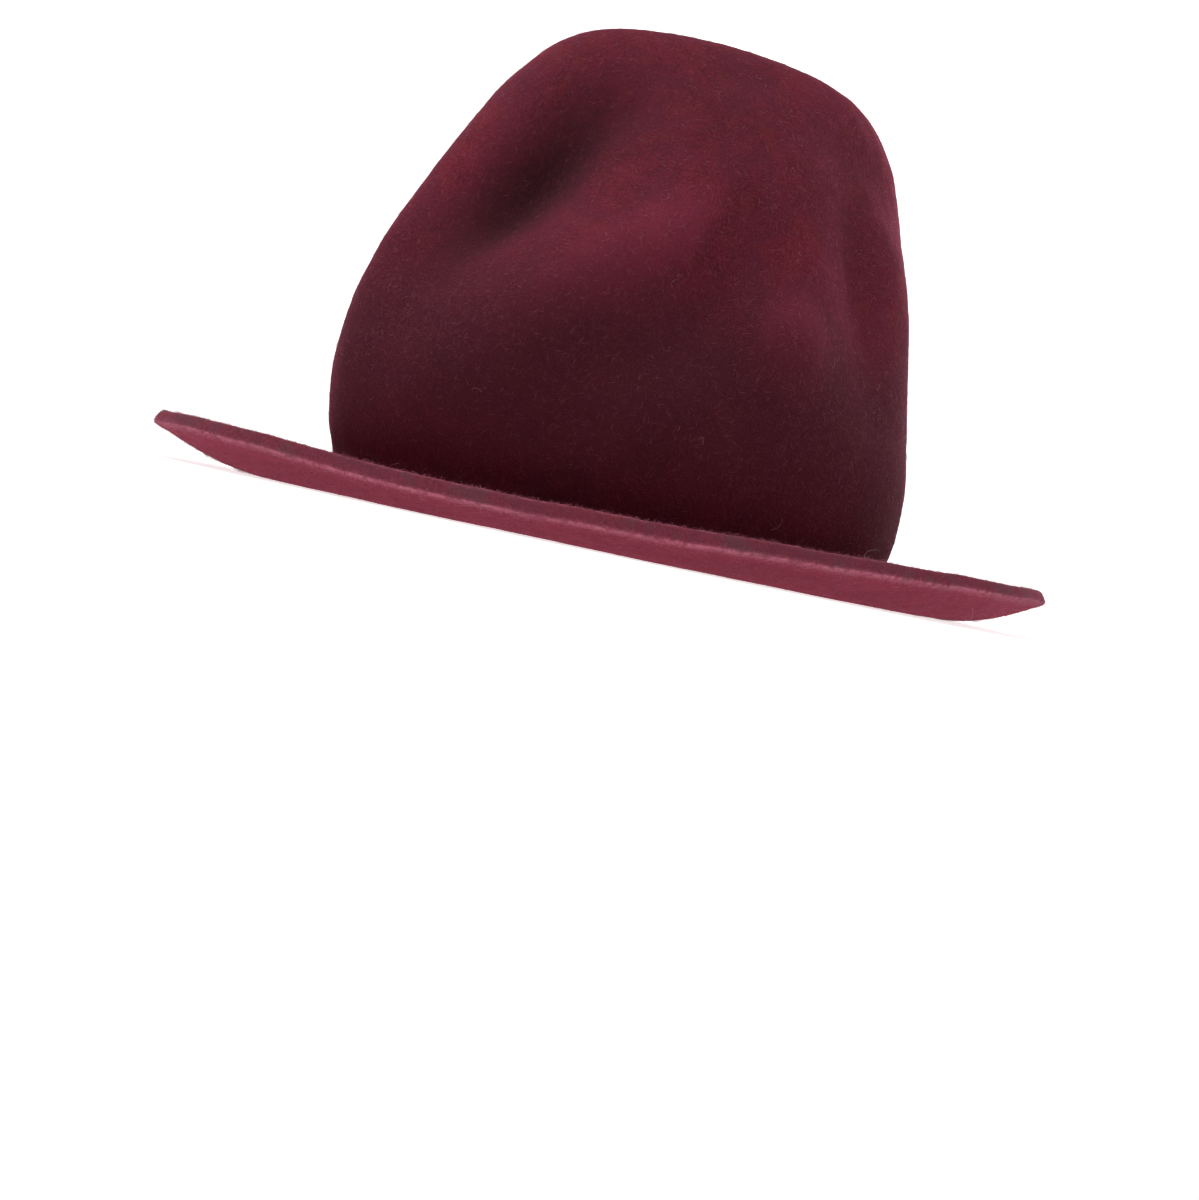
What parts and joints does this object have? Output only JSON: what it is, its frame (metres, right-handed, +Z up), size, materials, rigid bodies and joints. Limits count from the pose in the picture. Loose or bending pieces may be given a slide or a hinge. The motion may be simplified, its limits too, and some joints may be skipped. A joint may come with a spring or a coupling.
{
  "type": "mountain hat",
  "caption": "Tall-crowned felt hat with a pinched front, dented sides, a softly curled brim and a striped ribbon sweatband with a bare woven label inside.",
  "frame": {"origin": "on the surface that the brim rests on, under the middle of the head opening", "axes": "+Z up through the crown, +Y towards the back of the hat, +X towards the wearer's left"},
  "size_m": [0.289, 0.322, 0.181],
  "materials": {
    "felt": "burgundy wool felt, napped, with a soft raw edge at the rim",
    "ribbon": "ribbed grosgrain ribbon in red, blue, white, yellow and dark stripes",
    "woven_label": "bare white woven satin"
  },
  "bodies": {
    "root": {"felt_body": "felt", "sweatband": "ribbon", "label": "woven_label"}
  },
  "joints": []
}
